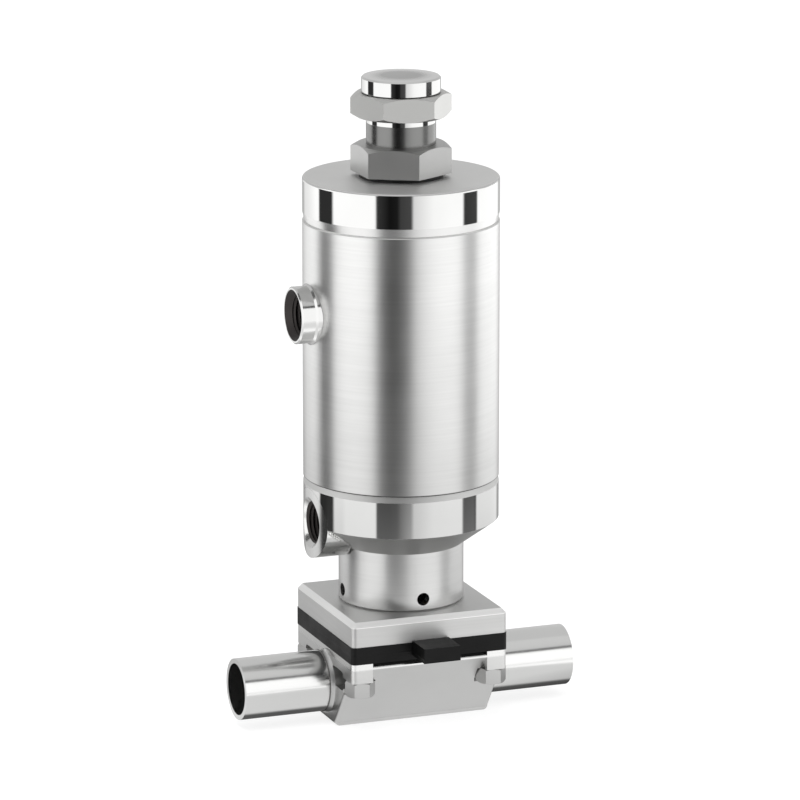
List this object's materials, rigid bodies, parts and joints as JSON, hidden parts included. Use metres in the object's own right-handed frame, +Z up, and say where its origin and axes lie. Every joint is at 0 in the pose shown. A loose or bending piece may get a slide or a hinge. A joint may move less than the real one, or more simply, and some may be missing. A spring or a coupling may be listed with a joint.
{
  "type": "pneumatic diaphragm valve",
  "caption": "Steel diaphragm valve with butt-weld spigots, black clamped diaphragm with a tab, and a tall round spring-closing piston actuator with a stroke limiter on top.",
  "frame": {"origin": "centre of the valve body's underside, under the spindle axis", "axes": "+X along the pipe from inlet to outlet, -Y towards the diaphragm's tab, +Z up the spindle to the stroke limiter"},
  "size_m": [0.108, 0.0658, 0.2],
  "materials": {
    "satin_steel": "satin",
    "polished_steel": "polished",
    "brushed_steel": "brushed",
    "turned_steel": "satin",
    "spring_steel": "satin",
    "piston_aluminium": "satin",
    "bearing_bronze": "satin",
    "ptfe": "matte",
    "epdm": "matte",
    "nitrile": "matte"
  },
  "bodies": {
    "valve": {"valve_body": "satin_steel", "inlet_tube": "polished_steel", "outlet_tube": "polished_steel", "diaphragm": "epdm", "diaphragm_membrane": "epdm", "bonnet": "polished_steel", "flange_studs": "turned_steel", "flange_nuts": "turned_steel", "bottom_cover": "polished_steel", "spindle_bush": "bearing_bronze", "spindle_seals": "nitrile", "lower_air_port": "polished_steel", "lower_cover_oring": "nitrile", "cylinder_tube": "brushed_steel", "upper_air_port": "polished_steel", "outer_spring": "spring_steel", "inner_spring": "spring_steel", "top_cover": "polished_steel", "upper_cover_oring": "nitrile", "limiter_housing": "satin_steel", "housing_oring": "nitrile", "housing_sleeve": "satin_steel", "seal_ring": "polished_steel"},
    "spindle_group": {"spindle": "turned_steel", "piston": "piston_aluminium", "piston_seal": "nitrile", "piston_guide_ring": "ptfe", "piston_washer": "turned_steel", "piston_nut": "turned_steel", "compressor": "satin_steel", "compressor_pin": "turned_steel", "diaphragm_stud": "turned_steel"},
    "stop_pad": {"stop_pad": "turned_steel"},
    "stop_screw": {"stop_screw": "turned_steel", "screw_cap": "polished_steel"},
    "lock_nut": {"lock_nut": "satin_steel"}
  },
  "joints": [
    {"name": "spindle_slide", "type": "slide", "parent": "valve", "child": "spindle_group", "axis": [0, 0, 1], "range_m": [0, 0.0055], "stiffness_N_per_m": 8000, "springref_m": -0.005, "deforming": ["outer_spring", "inner_spring", "diaphragm_membrane"]},
    {"name": "limiter_travel", "type": "slide", "parent": "valve", "child": "stop_pad", "axis": [0, 0, 1], "range_m": [0, 0.006]},
    {"name": "limiter_turn", "type": "hinge", "parent": "stop_pad", "child": "stop_screw", "pos_m": [0, 0, 0.18], "axis": [0, 0, 1], "range_deg": [0, 1440]},
    {"name": "lock_nut_turn", "type": "hinge", "parent": "valve", "child": "lock_nut", "pos_m": [0, 0, 0.19], "axis": [0, 0, 1], "range_deg": [0, 60]}
  ],
  "couplings": [
    {"joint": "limiter_turn", "follows": "limiter_travel", "rad_per_m": 4188.8}
  ]
}
